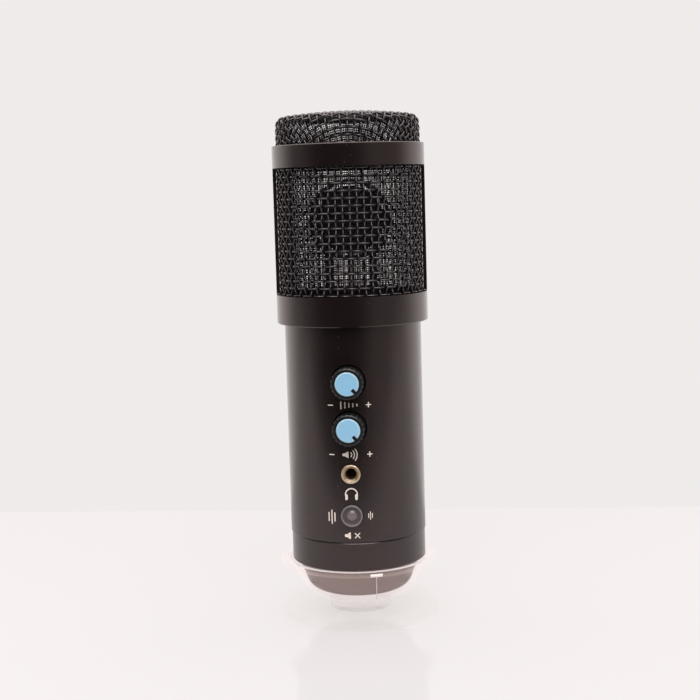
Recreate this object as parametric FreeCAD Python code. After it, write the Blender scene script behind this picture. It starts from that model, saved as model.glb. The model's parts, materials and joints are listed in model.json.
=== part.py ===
import FreeCAD, Part
import math
import os

# Side-address USB microphone standing in a clear pedestal stand.
# Millimetres. Origin: centre of the stand's foot, on the table. +Z is up and the controls face -Y.

os.makedirs("parts", exist_ok=True)
Vec = FreeCAD.Vector
ORIGIN = Vec(0, 0, 0)
X_AXIS = Vec(1, 0, 0)
Z_AXIS = Vec(0, 0, 1)

# ---------------------------------------------------------------- driving dimensions
GAP = 0.1               # play between pieces that are assembled together
SEAT_GAP = 0.3          # play between the microphone's tail and the stand's cup
GLUE_GAP = 0.03         # room for the cement round the stem's foot

# stand
FOOT_R = 25.1
FOOT_THICK = 3.0
STEM_R = 9.75
STEM_FOOT_Z = 1.65      # the stem stands in a shallow pocket in the foot
CUP_WALL = 1.5
CUP_FLOOR_THICK = 2.05
CUP_FLAT_R = 10.9       # the cup's underside is flat out to here
CUP_RIM_R = 25.45
CUP_RIM_THICK = 1.3

# tail cap
TAIL_FLOOR_Z = 8.1      # lowest face of the microphone
TAIL_FLOOR_THICK = 2.0
TAIL_FLAT_R = 12.4
TAIL_ROUND_R = 5.0
TAIL_NECK_R = 19.9      # top of the taper, under the ring
TAIL_RING_Z = 18.35
TAIL_RING_R = 21.65
RING_BEVEL = 0.35
RING_TOP_BEVEL = 0.2    # across; the ring's top bevel is steeper than it is wide
RING_TOP_BEVEL_LONG = 0.35
TUBE_BEVEL = 0.1
SEAM_Z = 27.5
SEAM_GROOVE = 0.15
SPIGOT_TOP_Z = 31.0
SPIGOT_WALL = 1.6

# body tube
BODY_R = 21.9
BODY_WALL = 1.5
BODY_IN_R = BODY_R - BODY_WALL
HEAD_Z = 95.3           # top of the body tube and lowest edge of the head

# head
HEAD_R = 24.2
HEAD_WALL = 1.1
HEAD_IN_R = HEAD_R - HEAD_WALL
HEAD_YAW = 5.3          # the head is screwed home this far past the controls
WINDOW_LOW_Z = 104.5
WINDOW_HIGH_Z = 144.4
WINDOW_CORNER_R = 0.6
PILLAR_HALF_DEG = 8.0   # each pillar between the windows spans twice this angle
BAND_TOP_Z = 151.4
EDGE_BEVEL = 0.25
DECK_THICK = 3.0
SHOULDER_Z = 154.95     # the grille's straight side ends here and leans in towards its corner
LEAN_DEG = 2.5
CORNER_ROUND_R = 2.8
GRILLE_TOP_Z = 161.9
CROWN_R = 155.0         # the shallow dome on top is part of a sphere
CROWN_EDGE_R = 20.45
GRILLE_THICK = 1.2      # two crossing wires
LINER_THICK = 0.4

# capsule
CAPSULE_Z = 127.7
CAPSULE_R = 10.7
CAPSULE_HALF_DEPTH = 3.2
RECESS_R = 9.8
RECESS_DEEP = 1.0
FILM_R = 9.0
FILM_THICK = 0.1
FILM_DEEP = 0.9         # middle of the film, below the capsule's face
CLAMP_R = 9.6
CLAMP_IN_R = 7.6
CLAMP_THICK = 0.8
CLAMP_SCREWS = 6
CLAMP_CIRCLE_R = 8.6
CLAMP_PIN_R = 0.4
CLAMP_HEAD_R = 0.75
CLAMP_HEAD_THICK = 0.28
HOLDER_IN_R = 11.5
HOLDER_R = 12.9
HOLDER_ROUND_R = 0.4
HOLDER_HALF_DEPTH = 4.0
LEG_X = 6.9
LEG_WIDE = 2.3
BRACKET_THICK = 1.5
BRACKET_SCREW_X = 3.2
WIRE_HOLE_R = 2.5
WIRE_HOLE_Y = 12.0
LEAD_R = 0.4

# controls: heights, and the clockwise angle of each pointer from twelve o'clock
EFFECT_Z = 78.25
VOLUME_Z = 63.9
JACK_Z = 49.4
MUTE_Z = 36.3
EFFECT_POINTER = 137.0
VOLUME_POINTER = 140.0
KNOB_HOLE_R = 5.45
KNOB_R = 5.02
KNOB_FACE = 26.7        # depths along the controls are measured out from the body's axis
KNOB_BACK = 19.2
KNOB_FLUTES = 20
FLUTE_R = 0.42
CAP_R = 3.74
CAP_THICK = 0.6
CAP_PROUD = 0.15
CAP_BEVEL = 0.3
POINTER_WIDE = 1.1
POINTER_LONG = 1.5
SHAFT_R = 2.0
SHAFT_PLAY = 0.05
SHAFT_BACK = 10.5
SHAFT_TIP = 25.2
FLAT_LOW = 19.8         # the shaft's flat starts here
POT_FACE = 14.2
POT_HALF = 4.9
POT_BELOW = 6.0
POT_ABOVE = 5.0
BUSHING_R = 3.3
BUSHING_TIP = 18.7
JACK_HOLE_R = 3.15
JACK_COLLAR_R = 3.05
JACK_BORE_R = 1.8
JACK_FACE = 22.3
JACK_LEAD_R = 2.5       # the hole's mouth is a funnel this wide at the face
JACK_LEAD_DEEP = 0.9
JACK_SLEEVE_R = 2.6
JACK_SLEEVE_TIP = 20.4
JACK_BACK = 8.2         # blind end of the plug's hole
JACK_BODY_FACE = 19.4
JACK_BODY_HALF_X = 4.0
JACK_BODY_HALF_Z = 5.0
MUTE_HOLE_R = 3.6
MUTE_R = 3.42
MUTE_FACE = 22.9
MUTE_BACK = 18.5
MUTE_RIM = 0.45
MUTE_DISH = 0.6
MUTE_DOME_R = 1.75
MUTE_FLANGE = 0.85
MUTE_FLANGE_THICK = 0.7
MUTE_SWITCH_HALF = 3.5
MUTE_SWITCH_FACE = 11.1
STEM_PIN_R = 1.7
STEM_PIN_BACK = 9.8

# boards and chassis
BOARD_THICK = 1.6
CONTROL_BOARD_FACE = 7.6
CONTROL_BOARD_LOW_Z = 29.0
MAIN_BOARD_Y = 5.5
MAIN_BOARD_LOW_Z = 16.0
BOARD_HALF_X = 13.0
BOARD_HIGH_Z = 88.0
RAIL_X = 11.4
RAIL_THICK = 1.5
RAIL_FLANGE = 4.5
RAIL_FLANGE_THICK = 1.2
RAIL_FOOT_X = 7.0       # the rail's foot reaches in to here
RAIL_LOW_Z = 24.0
SCREW_R = 0.95
SCREW_HEAD_R = 1.9
FOOT_SCREW_X = 9.2
FOOT_SCREW_Y = 2.2
BOARD_SCREW_X = 10.0
BOARD_SCREW_HEIGHTS = (33.0, 84.0)
CHIP_THICK = 1.5
CAN_R = 2.5
CAN_LONG = 6.5
CRYSTAL_Z = 51.25

# USB type B socket
USB_HALF_X = 6.02
USB_HALF_Y = 5.45
USB_WALL = 0.4
USB_MOUTH_Z = TAIL_FLOOR_Z + 0.3
USB_DEEP = 16.0
USB_CAVITY_HALF_X = 4.22
USB_CAVITY_HALF_Y = 3.89
USB_CAVITY_DEEP = 9.0
USB_TONGUE_HALF_X = 2.8
USB_TONGUE_HALF_Y = 1.6


# ---------------------------------------------------------------- helpers
def block(x0, x1, y0, y1, z0, z1):
    """A box between two corners."""
    return Part.makeBox(x1 - x0, y1 - y0, z1 - z0, Vec(x0, y0, z0))


def rod(radius, z0, z1, x=0.0, y=0.0):
    """A round bar along Z."""
    return Part.makeCylinder(radius, z1 - z0, Vec(x, y, z0), Z_AXIS)


def pipe(outer, inner, z0, z1):
    """A round tube along Z."""
    return rod(outer, z0, z1).cut(rod(inner, z0, z1))


def turned(start, *steps):
    """Revolve a closed outline about Z. A step is (r, z), or (mid_r, mid_z, r, z) for an arc."""
    edges = []
    here = Vec(start[0], 0, start[1])
    for step in steps + (start,):
        there = Vec(step[-2], 0, step[-1])
        if len(step) == 4:
            edges.append(Part.Arc(here, Vec(step[0], 0, step[1]), there).toShape())
        elif here.distanceToPoint(there) > 1e-6:
            edges.append(Part.LineSegment(here, there).toShape())
        here = there
    face = Part.Face(Part.Wire(edges))
    return face.revolve(ORIGIN, Z_AXIS, 360)


def arc_to(centre_r, centre_z, radius, from_deg, to_deg):
    """The arc step of an outline, from its centre, radius and two angles."""
    mid = math.radians((from_deg + to_deg) / 2)
    end = math.radians(to_deg)
    return (
        centre_r + radius * math.cos(mid),
        centre_z + radius * math.sin(mid),
        centre_r + radius * math.cos(end),
        centre_z + radius * math.sin(end),
    )


def cap_arc(from_r, from_z, to_r, to_z):
    """The arc step between the axis and a rim, in either direction, with its centre on the axis."""
    rim_r = max(from_r, to_r)
    rise = abs(to_z - from_z)
    radius = (rim_r ** 2 + rise ** 2) / (2 * rise)
    top_z = to_z if to_r == 0 else from_z
    half = math.asin(rim_r / radius) / 2
    return (radius * math.sin(half), top_z - radius * (1 - math.cos(half)), to_r, to_z)


def wedge(half_deg, near, far, z0, z1, corner_r):
    """A block out along +Y whose sides lie on radial planes, with its long corners rounded."""
    across = math.cos(math.radians(half_deg))
    along = math.sin(math.radians(half_deg))
    outline = (
        (-near * across, near * along),
        (near * across, near * along),
        (far * across, far * along),
        (far * across, far),
        (-far * across, far),
        (-far * across, far * along),
    )
    points = [Vec(x, y, z0) for x, y in outline]
    solid = Part.Face(Part.makePolygon(points + points[:1])).extrude(Vec(0, 0, z1 - z0))
    corners = [e for e in solid.Edges if e.BoundBox.XLength > 1 and 1 < e.BoundBox.YLength < far / 2]
    return solid.makeFillet(corner_r, corners)


def on_front(shape, height, clockwise=0.0):
    """Turn a piece built along Z to point out of the front (-Y), at a height, turned clockwise."""
    shape.rotate(ORIGIN, Z_AXIS, -clockwise)
    shape.rotate(ORIGIN, X_AXIS, 90)
    shape.translate(Vec(0, 0, height))
    return shape


def group(shapes):
    """Separate solids that share one node."""
    return Part.makeCompound(shapes)


def screw(head_low, length, x, y):
    """A pan-head screw with its shank down along -Z from head_low, and a cross slot in its head."""
    head = rod(SCREW_HEAD_R, head_low, head_low + 1.2, x, y)
    rim = [e for e in head.Edges if abs(e.BoundBox.ZMax - head_low - 1.2) < 1e-6 and e.Length > 3]
    head = head.makeFillet(0.5, rim[:1])
    body = head.fuse(rod(SCREW_R, head_low - length, head_low + 0.1, x, y))
    for half_x, half_y in ((1.1, 0.2), (0.2, 1.1)):
        slot = block(x - half_x, x + half_x, y - half_y, y + half_y, head_low + 0.6, head_low + 1.3)
        body = body.cut(slot)
    return body


def turn_head(shape):
    shape.rotate(ORIGIN, Z_AXIS, HEAD_YAW)
    return shape


# ---------------------------------------------------------------- stand
def stand_base():
    """A round foot with softened edges and a shallow pocket for the stem."""
    disc = rod(FOOT_R, 0, FOOT_THICK)
    disc = disc.makeFillet(0.35, [e for e in disc.Edges if e.Length > 10 and e.BoundBox.ZLength < 0.1])
    return disc.cut(rod(STEM_R + GLUE_GAP, STEM_FOOT_Z, FOOT_THICK + 1))


def cup_floor_z():
    return TAIL_FLOOR_Z - SEAT_GAP - CUP_FLOOR_THICK


def stand_stem():
    return rod(STEM_R, STEM_FOOT_Z, cup_floor_z())


def stand_cup():
    """A clear dish: flat underside, rounded bowl and a flared rim whose top carries the tail ring."""
    floor_z = cup_floor_z()
    centre_z = TAIL_FLOOR_Z + TAIL_ROUND_R
    inner_round = TAIL_ROUND_R + SEAT_GAP
    outer_round = TAIL_FLAT_R + inner_round + CUP_WALL - CUP_FLAT_R
    seat_r = TAIL_NECK_R + SEAT_GAP
    wall_r = seat_r + CUP_WALL
    rim_high_z = TAIL_RING_Z
    rim_low_z = rim_high_z - CUP_RIM_THICK
    lip = CUP_RIM_THICK / 2
    flare = 1.6
    flare_mid = flare * (1 - math.cos(math.radians(45)))
    return turned(
        (0, floor_z),
        (CUP_FLAT_R, floor_z),
        arc_to(CUP_FLAT_R, floor_z + outer_round, outer_round, -90, -12),
        (wall_r - 0.4, rim_low_z - flare),
        (wall_r - 0.4 + flare_mid, rim_low_z - flare_mid, wall_r - 0.4 + flare, rim_low_z),
        (CUP_RIM_R - lip, rim_low_z),
        arc_to(CUP_RIM_R - lip, rim_low_z + lip, lip, -90, 90),
        (seat_r, rim_high_z),
        arc_to(TAIL_FLAT_R, centre_z, inner_round, -6, -90),
        (0, TAIL_FLOOR_Z - SEAT_GAP),
    )


# ---------------------------------------------------------------- tail and body
def tail_cap():
    """Ring, taper and floor in one turning, with a spigot inside the body tube and a USB opening."""
    centre_z = TAIL_FLOOR_Z + TAIL_ROUND_R
    ring_top_z = SEAM_Z - SEAM_GROOVE / 2
    spigot_r = BODY_IN_R - GAP
    bore_r = spigot_r - SPIGOT_WALL
    inside_z = TAIL_FLOOR_Z + TAIL_FLOOR_THICK
    edge = RING_BEVEL
    cap = turned(
        (0, TAIL_FLOOR_Z),
        (TAIL_FLAT_R, TAIL_FLOOR_Z),
        arc_to(TAIL_FLAT_R, centre_z, TAIL_ROUND_R, -90, -12),
        (TAIL_NECK_R, TAIL_RING_Z),
        (TAIL_RING_R - edge, TAIL_RING_Z),
        arc_to(TAIL_RING_R - edge, TAIL_RING_Z + edge, edge, -90, 0),
        (TAIL_RING_R, ring_top_z - RING_TOP_BEVEL_LONG),
        (TAIL_RING_R - RING_TOP_BEVEL, ring_top_z),
        (spigot_r, ring_top_z),
        (spigot_r, SPIGOT_TOP_Z),
        (bore_r, SPIGOT_TOP_Z),
        (bore_r, TAIL_RING_Z + TAIL_FLOOR_THICK),
        (TAIL_NECK_R - TAIL_FLOOR_THICK, TAIL_RING_Z + TAIL_FLOOR_THICK),
        (TAIL_NECK_R - TAIL_FLOOR_THICK, TAIL_RING_Z),
        (TAIL_FLAT_R + TAIL_ROUND_R - TAIL_FLOOR_THICK, centre_z),
        arc_to(TAIL_FLAT_R, centre_z, TAIL_ROUND_R - TAIL_FLOOR_THICK, 0, -90),
        (0, inside_z),
    )
    mouth_x = USB_HALF_X + GAP
    mouth_y = USB_HALF_Y + GAP
    return cap.cut(block(-mouth_x, mouth_x, -mouth_y, mouth_y, TAIL_FLOOR_Z - 1, inside_z + 1))


def body_tube():
    """Straight tube with bevelled ends and four round holes down its front."""
    low_z = SEAM_Z + SEAM_GROOVE / 2
    tube = turned(
        (BODY_IN_R, low_z),
        (BODY_R - TUBE_BEVEL, low_z),
        (BODY_R, low_z + TUBE_BEVEL),
        (BODY_R, HEAD_Z),
        (BODY_IN_R, HEAD_Z),
    )
    holes = (
        (EFFECT_Z, KNOB_HOLE_R),
        (VOLUME_Z, KNOB_HOLE_R),
        (JACK_Z, JACK_HOLE_R),
        (MUTE_Z, MUTE_HOLE_R),
    )
    for height, radius in holes:
        tube = tube.cut(on_front(rod(radius, BODY_IN_R - 5, BODY_R + 5), height))
    return tube


# ---------------------------------------------------------------- head
def head_frame():
    """One tube: lower band, two side pillars, upper band, with a window milled in front and back."""
    tube = turned(
        (HEAD_IN_R, HEAD_Z),
        (HEAD_R - EDGE_BEVEL, HEAD_Z),
        (HEAD_R, HEAD_Z + EDGE_BEVEL),
        (HEAD_R, BAND_TOP_Z - EDGE_BEVEL),
        (HEAD_R - EDGE_BEVEL, BAND_TOP_Z),
        (HEAD_IN_R, BAND_TOP_Z),
    )
    for half_turn in (0, 180):
        window = wedge(
            PILLAR_HALF_DEG, HEAD_R / 2, HEAD_R * 2, WINDOW_LOW_Z, WINDOW_HIGH_Z, WINDOW_CORNER_R
        )
        window.rotate(ORIGIN, Z_AXIS, half_turn)
        tube = tube.cut(window)
    return turn_head(tube)


def deck_top_z():
    return HEAD_Z + GAP + DECK_THICK


def head_deck():
    """Flange that carries the head, with a skirt inside the body tube and a hole for the wires."""
    under_z = HEAD_Z + GAP
    skirt_r = BODY_IN_R - GAP
    deck = turned(
        (0, under_z),
        (skirt_r - 2.0, under_z),
        (skirt_r - 2.0, under_z - 6.0),
        (skirt_r, under_z - 6.0),
        (skirt_r, under_z),
        (HEAD_IN_R - GAP, under_z),
        (HEAD_IN_R - GAP, deck_top_z()),
        (0, deck_top_z()),
    )
    deck = deck.cut(turn_head(rod(WIRE_HOLE_R, under_z - 1, deck_top_z() + 1, 0, WIRE_HOLE_Y)))
    for side in (-1, 1):
        bracket_hole = rod(SCREW_R + GAP, under_z - 1, deck_top_z() + 1, side * BRACKET_SCREW_X, 0)
        deck = deck.cut(turn_head(bracket_hole))
        for y in (-FOOT_SCREW_Y, FOOT_SCREW_Y):
            deck = deck.cut(rod(SCREW_R + GAP, under_z - 1, deck_top_z() + 1, side * FOOT_SCREW_X, y))
    return deck


def dome_outline(inset):
    """Side, corner and crown of the grille, moved in from its outside by inset, as outline steps."""
    side_r = HEAD_IN_R - GAP - inset
    sphere_r = CROWN_R - inset
    sphere_z = GRILLE_TOP_Z - CROWN_R
    tilt = math.acos(CROWN_EDGE_R / CROWN_R)
    corner_r = (CROWN_R - CORNER_ROUND_R) * math.cos(tilt)
    corner_z = sphere_z + (CROWN_R - CORNER_ROUND_R) * math.sin(tilt)
    round_r = CORNER_ROUND_R - inset
    corner = arc_to(corner_r, corner_z, round_r, LEAN_DEG, math.degrees(tilt))
    lean = math.radians(LEAN_DEG)
    lean_end = (corner_r + round_r * math.cos(lean), corner_z + round_r * math.sin(lean))
    top_z = sphere_z + sphere_r
    return (side_r, SHOULDER_Z), lean_end, corner, cap_arc(corner[2], corner[3], 0, top_z)


def backwards(start, *steps):
    """The same outline steps from their far end, leaving out the start's own point at the end."""
    points = [start] + [step[-2:] for step in steps]
    turned_round = []
    for i in range(len(steps) - 1, -1, -1):
        turned_round.append(tuple(steps[i][:-2]) + tuple(points[i]))
    return turned_round


def domed_shell(inset, thick):
    """A woven cup as a thin closed shell: straight side, rounded corner and a shallow crown."""
    low_z = deck_top_z() + GAP
    outside = dome_outline(inset)
    inside = dome_outline(inset + thick)
    start = (outside[0][0], low_z)
    inner_start = (inside[0][0], low_z)
    return turned(start, *outside, inside[-1][-2:], *backwards(inner_start, *inside))


def grille_outer():
    return turn_head(domed_shell(0, GRILLE_THICK))


def grille_inner():
    return turn_head(domed_shell(GRILLE_THICK + GAP, LINER_THICK))


# ---------------------------------------------------------------- capsule
def on_capsule(shape):
    """Stand a piece built along Z about the capsule's axis up to face the front of the head."""
    return turn_head(on_front(shape, CAPSULE_Z))


def capsule_ring():
    ring = pipe(HOLDER_R, HOLDER_IN_R, -HOLDER_HALF_DEPTH, HOLDER_HALF_DEPTH)
    rims = [e for e in ring.Edges if e.Length > 2 * math.pi * HOLDER_R - 1 and e.BoundBox.ZLength < 0.1]
    return on_capsule(ring.makeFillet(HOLDER_ROUND_R, rims))


def capsule_suspension():
    """Four rubber lugs on the diagonals, which fill the gap between ring and capsule."""
    half_depth = CAPSULE_HALF_DEPTH - 0.5
    half_wide = 1.6
    gap_ring = pipe(HOLDER_IN_R, CAPSULE_R, -half_depth, half_depth)
    lugs = []
    for quarter in range(4):
        arm = block(CAPSULE_R - 3, HOLDER_IN_R + 1, -half_wide, half_wide, -half_depth, half_depth)
        arm.rotate(ORIGIN, Z_AXIS, 45 + 90 * quarter)
        lugs.append(on_capsule(gap_ring.common(arm)))
    return group(lugs)


def capsule_body():
    """Round housing with a shallow recess in each face for its diaphragm."""
    body = rod(CAPSULE_R, -CAPSULE_HALF_DEPTH, CAPSULE_HALF_DEPTH)
    floor = CAPSULE_HALF_DEPTH - RECESS_DEEP
    body = body.cut(rod(RECESS_R, floor, CAPSULE_HALF_DEPTH + 1))
    body = body.cut(rod(RECESS_R, -CAPSULE_HALF_DEPTH - 1, -floor))
    return on_capsule(body)


def both_faces(shapes):
    """Pieces of the capsule's back face, and the same pieces again on its front."""
    placed = []
    for shape in shapes:
        placed.append(on_capsule(shape.mirror(ORIGIN, Z_AXIS)))
        placed.append(on_capsule(shape))
    return group(placed)


def capsule_diaphragms():
    middle = CAPSULE_HALF_DEPTH - FILM_DEEP
    return both_faces([rod(FILM_R, middle - FILM_THICK / 2, middle + FILM_THICK / 2)])


def clamp_places():
    """Where the small screws stand round the clamp ring."""
    angles = [2 * math.pi * i / CLAMP_SCREWS for i in range(CLAMP_SCREWS)]
    return [(CLAMP_CIRCLE_R * math.cos(a), CLAMP_CIRCLE_R * math.sin(a)) for a in angles]


def capsule_clamp_rings():
    """The ring that clamps each diaphragm, drilled for its screws."""
    ring = pipe(CLAMP_R, CLAMP_IN_R, CAPSULE_HALF_DEPTH - CLAMP_THICK, CAPSULE_HALF_DEPTH)
    for x, y in clamp_places():
        ring = ring.cut(rod(CLAMP_PIN_R + 0.05, 0, CAPSULE_HALF_DEPTH + 1, x, y))
    return both_faces([ring])


def capsule_screws():
    face = CAPSULE_HALF_DEPTH + 0.02
    screws = []
    for x, y in clamp_places():
        pin = rod(CLAMP_PIN_R, CAPSULE_HALF_DEPTH - CLAMP_THICK, face, x, y)
        screws.append(pin.fuse(rod(CLAMP_HEAD_R, face, face + CLAMP_HEAD_THICK, x, y)))
    return both_faces(screws)


def capsule_bracket():
    """Base plate on the deck and two legs up to the holder ring."""
    low_z = deck_top_z()
    half_x = LEG_X + 3.0
    half_y = 5.0
    half_leg = 1.5
    plate = block(-half_x, half_x, -half_y, half_y, low_z, low_z + BRACKET_THICK)
    upright = [e for e in plate.Edges if e.BoundBox.ZLength > 1]
    plate = plate.makeFillet(2.0, upright)
    for side in (-1, 1):
        x = side * LEG_X
        leg = block(x - LEG_WIDE / 2, x + LEG_WIDE / 2, -half_leg, half_leg, low_z, CAPSULE_Z)
        plate = plate.fuse(leg)
        plate = plate.cut(rod(SCREW_R + GAP, low_z - 1, low_z + 3, side * BRACKET_SCREW_X, 0))
    ring_space = rod(HOLDER_R + 0.02, -HOLDER_HALF_DEPTH - 1, HOLDER_HALF_DEPTH + 1)
    plate = plate.cut(on_front(ring_space, CAPSULE_Z))
    return turn_head(plate)


def bracket_screws():
    head_low = deck_top_z() + BRACKET_THICK
    return group([turn_head(screw(head_low, 4.0, side * BRACKET_SCREW_X, 0)) for side in (-1, 1)])


def bent_wire(points, radius):
    """A round wire along straight runs joined by tangent arcs."""
    edges = []
    here = points[0]
    for i in range(1, len(points) - 1):
        before = (points[i - 1] - points[i])
        after = (points[i + 1] - points[i])
        short = min(before.Length, after.Length)
        before.normalize()
        after.normalize()
        reach = 0.45 * short
        start = points[i] + before * reach
        end = points[i] + after * reach
        turn = math.pi - before.getAngle(after)
        bend_r = reach / math.tan(turn / 2)
        inward = before + after
        inward.normalize()
        centre = points[i] + inward * (bend_r / math.cos(turn / 2))
        edges.append(Part.LineSegment(here, start).toShape())
        edges.append(Part.Arc(start, centre - inward * bend_r, end).toShape())
        here = end
    edges.append(Part.LineSegment(here, points[-1]).toShape())
    path = Part.Wire(edges)
    tangent = points[1] - points[0]
    section = Part.Wire(Part.makeCircle(radius, points[0], tangent))
    return path.makePipeShell([section], True, True)


def capsule_wires():
    """Two leads from the back of the capsule through the deck's hole to the main board."""
    apart = 0.7
    leaves_z = CAPSULE_Z - 2.0
    wires = []
    for x in (-apart, apart):
        route = [
            Vec(x, CAPSULE_HALF_DEPTH + GAP, leaves_z),
            Vec(x, 9.0, leaves_z - 2.0),
            Vec(x, WIRE_HOLE_Y + 0.5, leaves_z - 14.0),
            Vec(x, WIRE_HOLE_Y, HEAD_Z + 6.0),
            Vec(x, WIRE_HOLE_Y, HEAD_Z - 5.0),
            Vec(x, MAIN_BOARD_Y + BOARD_THICK + 1.2, BOARD_HIGH_Z - 4.0),
        ]
        wires.append(turn_head(bent_wire(route, LEAD_R)))
    return group(wires)


# ---------------------------------------------------------------- chassis and boards
def chassis_rail(side):
    """C-section rail: web, a flange behind each board and a foot under the deck."""
    front_y = -CONTROL_BOARD_FACE + BOARD_THICK
    back_y = MAIN_BOARD_Y
    high_z = HEAD_Z + GAP
    outer_x = RAIL_X + RAIL_THICK
    inner_x = outer_x - RAIL_FLANGE
    flange = RAIL_FLANGE_THICK
    rail = block(RAIL_X, outer_x, front_y, back_y, RAIL_LOW_Z, high_z)
    rail = rail.fuse(block(inner_x, outer_x, front_y, front_y + flange, RAIL_LOW_Z, high_z))
    rail = rail.fuse(block(inner_x, outer_x, back_y - flange, back_y, RAIL_LOW_Z, high_z))
    rail = rail.fuse(block(RAIL_FOOT_X, outer_x, front_y, back_y, high_z - RAIL_THICK, high_z))
    for height in BOARD_SCREW_HEIGHTS:
        rail = rail.cut(on_front(rod(SCREW_R + GAP, -30, 30, BOARD_SCREW_X, 0), height))
    for y in (-FOOT_SCREW_Y, FOOT_SCREW_Y):
        rail = rail.cut(rod(SCREW_R + GAP, high_z - 5, high_z + 1, FOOT_SCREW_X, y))
    rail = rail.removeSplitter()
    return rail.mirror(ORIGIN, X_AXIS) if side < 0 else rail


def rail_screws():
    """Four screws up through the rails' feet into the deck."""
    screws = []
    head_z = HEAD_Z + GAP - RAIL_THICK
    for side in (-1, 1):
        for y in (-FOOT_SCREW_Y, FOOT_SCREW_Y):
            bolt = screw(0, 3.5, 0, 0)
            bolt.rotate(ORIGIN, X_AXIS, 180)
            bolt.translate(Vec(side * FOOT_SCREW_X, y, head_z))
            screws.append(bolt)
    return group(screws)


def drilled_board(y0, low_z):
    """A board from low_z up to the boards' common top, drilled for its four screws."""
    board = block(-BOARD_HALF_X, BOARD_HALF_X, y0, y0 + BOARD_THICK, low_z, BOARD_HIGH_Z)
    for side in (-1, 1):
        for height in BOARD_SCREW_HEIGHTS:
            hole = rod(SCREW_R + GAP, -30, 30, side * BOARD_SCREW_X, 0)
            board = board.cut(on_front(hole, height))
    return board


def control_board():
    return drilled_board(-CONTROL_BOARD_FACE, CONTROL_BOARD_LOW_Z)


def main_board():
    return drilled_board(MAIN_BOARD_Y, MAIN_BOARD_LOW_Z)


def board_screws():
    screws = []
    for side in (-1, 1):
        for height in BOARD_SCREW_HEIGHTS:
            screws.append(on_front(screw(CONTROL_BOARD_FACE, 4.0, side * BOARD_SCREW_X, 0), height))
            back = screw(0, 4.0, 0, 0)
            back.rotate(ORIGIN, X_AXIS, -90)
            back.translate(Vec(side * BOARD_SCREW_X, MAIN_BOARD_Y + BOARD_THICK, height))
            screws.append(back)
    return group(screws)


def board_chips():
    """The converter chip and two small amplifiers on the back of the main board."""
    y0 = MAIN_BOARD_Y + BOARD_THICK
    chips = []
    for half_x, low_z, high_z in ((3.5, 38.0, 45.0), (2.5, 58.0, 62.0), (2.5, 70.0, 74.0)):
        chips.append(block(-half_x, half_x, y0, y0 + CHIP_THICK, low_z, high_z))
    return group(chips)


def board_capacitors():
    """Electrolytic cans on the front of the main board."""
    foot = -MAIN_BOARD_Y
    top = foot + CAN_LONG
    cans = []
    for x, height in ((-4.0, 35.0), (4.0, 35.0), (-4.0, 66.0), (4.0, 74.0)):
        can = rod(CAN_R, foot, top, x, 0)
        rim = [e for e in can.Edges if e.Length > 10 and abs(e.BoundBox.ZMin - top) < 0.1]
        cans.append(on_front(can.makeFillet(0.4, rim), height))
    return group(cans)


def board_crystal():
    """A flat metal can with round ends, above the converter chip."""
    y0 = MAIN_BOARD_Y + BOARD_THICK
    half_x = 5.5
    half_z = 2.25
    can = block(-half_x, half_x, y0, y0 + 3.5, CRYSTAL_Z - half_z, CRYSTAL_Z + half_z)
    upright = [e for e in can.Edges if e.BoundBox.YLength > 3]
    return can.makeFillet(1.9, upright)


def board_ribbon():
    """Flat ribbon that joins the two boards below the rails' feet."""
    half_x = 5.0
    thick = 0.6
    rise = 3.0
    low_z = BOARD_HIGH_Z
    front_y = -CONTROL_BOARD_FACE + 0.4
    back_y = MAIN_BOARD_Y + 1.2
    loop = block(-half_x, half_x, front_y, back_y, low_z, low_z + rise)
    roof_z = low_z + rise - thick
    return loop.cut(block(-half_x - 1, half_x + 1, front_y + thick, back_y - thick, low_z - 1, roof_z))


# ---------------------------------------------------------------- controls
def pot(height):
    """Potentiometer housing with its bushing, bored for the shaft."""
    body = block(-POT_HALF, POT_HALF, -POT_BELOW, POT_ABOVE, CONTROL_BOARD_FACE, POT_FACE)
    body = body.fuse(rod(BUSHING_R, POT_FACE, BUSHING_TIP))
    body = body.cut(rod(SHAFT_R + SHAFT_PLAY, SHAFT_BACK - 0.3, BUSHING_TIP + 1))
    return on_front(body, height)


def flat_shaft(radius, low, high, flat_low):
    """A round shaft with one flat along its outer end."""
    shaft = rod(radius, low, high)
    return shaft.cut(block(-radius, radius, radius * 0.5, radius * 2, flat_low, high + 1))


def pot_shaft(height, pointer):
    shaft = flat_shaft(SHAFT_R, SHAFT_BACK, SHAFT_TIP, FLAT_LOW)
    return on_front(shaft, height, pointer)


def pointer_bar(wide, back, face):
    """The pointer at the edge of the cap, at twelve o'clock."""
    return block(-wide / 2, wide / 2, CAP_R - POINTER_LONG, CAP_R + 1.0, back, face)


def knob(height, pointer):
    """Fluted knob with a recess for its cap and a raised pointer."""
    shell = turned(
        (0, KNOB_BACK),
        (KNOB_R, KNOB_BACK),
        (KNOB_R, KNOB_FACE - 0.9),
        (KNOB_R - 0.12, KNOB_FACE - 0.3, KNOB_R - 0.55, KNOB_FACE),
        (0, KNOB_FACE),
    )
    for i in range(KNOB_FLUTES):
        angle = 2 * math.pi * (i + 0.5) / KNOB_FLUTES
        x = (KNOB_R + 0.12) * math.cos(angle)
        y = (KNOB_R + 0.12) * math.sin(angle)
        shell = shell.cut(rod(FLUTE_R, KNOB_BACK + 2.0, KNOB_FACE + 1, x, y))
    recess_z = KNOB_FACE - CAP_THICK
    recess = rod(CAP_R + 0.06, recess_z, KNOB_FACE + 1)
    recess = recess.cut(pointer_bar(POINTER_WIDE - 0.12, recess_z - 1, KNOB_FACE + 2))
    shell = shell.cut(recess)
    shell = shell.cut(flat_shaft(SHAFT_R + 0.01, KNOB_BACK - 1, SHAFT_TIP + 0.1, FLAT_LOW + 0.2))
    return on_front(shell, height, pointer)


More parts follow.
